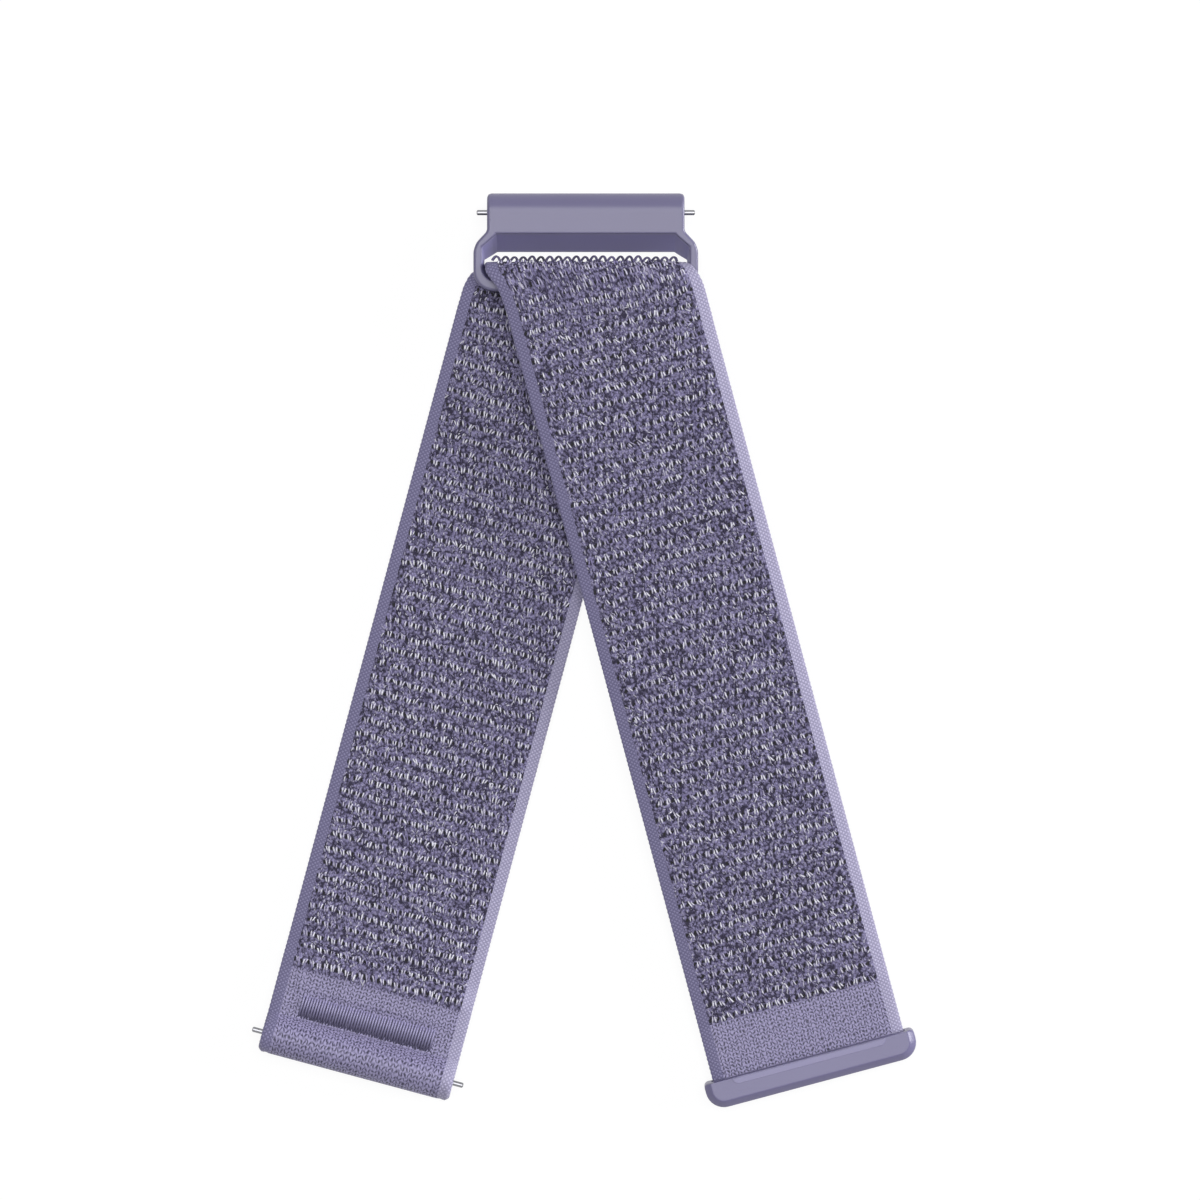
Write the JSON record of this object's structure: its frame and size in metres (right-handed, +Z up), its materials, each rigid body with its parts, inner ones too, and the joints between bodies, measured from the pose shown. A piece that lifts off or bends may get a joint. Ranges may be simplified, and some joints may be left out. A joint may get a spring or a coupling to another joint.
{
  "type": "nylon watch strap",
  "caption": "Woven nylon watch strap that folds back through a moulded ring and closes with a hook patch, held by quick-release spring bars.",
  "frame": {"origin": "on the surface that the strap lies on, under the middle of its bounding box", "axes": "+Y from the strap's two ends towards the ring, +X towards the flap's side, +Z up from the skin side to the outer side"},
  "size_m": [0.0724, 0.0996, 0.0068],
  "materials": {
    "nylon_webbing": "woven loop pile",
    "bartack_thread": "satin stitch",
    "hook_tape": "moulded hooks",
    "ring_plastic": "satin moulded",
    "cap_plastic": "satin moulded",
    "bar_steel": "polished stainless steel",
    "spring_steel": "bright spring wire"
  },
  "bodies": {
    "main_strap": {"webbing_main_upper": "nylon_webbing", "webbing_main_bend_1": "nylon_webbing", "webbing_fold": "nylon_webbing"},
    "main_middle": {"webbing_main_middle": "nylon_webbing", "webbing_main_bend_2": "nylon_webbing"},
    "main_end": {"webbing_main_end": "nylon_webbing", "bartack_stitching": "bartack_thread", "strap_bar_barrel": "bar_steel", "strap_bar_spring": "spring_steel"},
    "strap_tip_left": {"strap_bar_tip_left": "bar_steel"},
    "strap_tip_right": {"strap_bar_tip_right": "bar_steel", "strap_bar_lever": "bar_steel"},
    "flap": {"webbing_flap_upper": "nylon_webbing", "webbing_flap_bend_1": "nylon_webbing"},
    "flap_middle": {"webbing_flap_middle": "nylon_webbing", "webbing_flap_bend_2": "nylon_webbing"},
    "flap_end": {"webbing_flap_end": "nylon_webbing", "hook_patch": "hook_tape", "end_cap": "cap_plastic"},
    "ring": {"ring_frame": "ring_plastic", "ring_bar_barrel": "bar_steel", "ring_bar_spring": "spring_steel"},
    "ring_tip_left": {"ring_bar_tip_left": "bar_steel"},
    "ring_tip_right": {"ring_bar_tip_right": "bar_steel", "ring_bar_lever": "bar_steel"}
  },
  "joints": [
    {"name": "flap_swing", "type": "hinge", "parent": "main_strap", "child": "flap", "pos_m": [0.00021, 0.03967, 0.00342], "axis": [-1, 0, 0], "range_deg": [0, 120], "deforming": ["webbing_fold"]},
    {"name": "ring_swing", "type": "hinge", "parent": "main_strap", "child": "ring", "pos_m": [0.00021, 0.03967, 0.00342], "axis": [-1, 0, 0], "range_deg": [-70, 0]},
    {"name": "main_bend_1", "type": "hinge", "parent": "main_strap", "child": "main_middle", "pos_m": [-0.01196, 0.00292, 0.00112], "axis": [-0.9658, 0.2593, 0], "range_deg": [-60, 60], "stiffness_Nm_per_rad": 0.004, "deforming": ["webbing_main_bend_1"]},
    {"name": "main_bend_2", "type": "hinge", "parent": "main_middle", "child": "main_end", "pos_m": [-0.0182, -0.02032, 0.00112], "axis": [-0.9658, 0.2593, 0], "range_deg": [-60, 60], "stiffness_Nm_per_rad": 0.004, "deforming": ["webbing_main_bend_2"]},
    {"name": "flap_bend_1", "type": "hinge", "parent": "flap", "child": "flap_middle", "pos_m": [0.0118, 0.00287, 0.00407], "axis": [-0.9658, -0.2591, -0.0117], "range_deg": [-60, 60], "stiffness_Nm_per_rad": 0.004, "deforming": ["webbing_flap_bend_1"]},
    {"name": "flap_bend_2", "type": "hinge", "parent": "flap_middle", "child": "flap_end", "pos_m": [0.01801, -0.02025, 0.00302], "axis": [-0.9658, -0.2591, -0.0117], "range_deg": [-60, 60], "stiffness_Nm_per_rad": 0.004, "deforming": ["webbing_flap_bend_2"]},
    {"name": "ring_tip_left_slide", "type": "slide", "parent": "ring", "child": "ring_tip_left", "axis": [1, 0, 0], "range_m": [0, 0.0012], "stiffness_N_per_m": 300, "deforming": ["ring_bar_spring"]},
    {"name": "ring_tip_right_slide", "type": "slide", "parent": "ring", "child": "ring_tip_right", "axis": [-1, 0, 0], "range_m": [0, 0.0012], "stiffness_N_per_m": 300},
    {"name": "strap_tip_left_slide", "type": "slide", "parent": "main_end", "child": "strap_tip_left", "axis": [0.9658, -0.2593, 0], "range_m": [0, 0.0012], "stiffness_N_per_m": 300, "deforming": ["strap_bar_spring"]},
    {"name": "strap_tip_right_slide", "type": "slide", "parent": "main_end", "child": "strap_tip_right", "axis": [-0.9658, 0.2593, 0], "range_m": [0, 0.0012], "stiffness_N_per_m": 300}
  ]
}
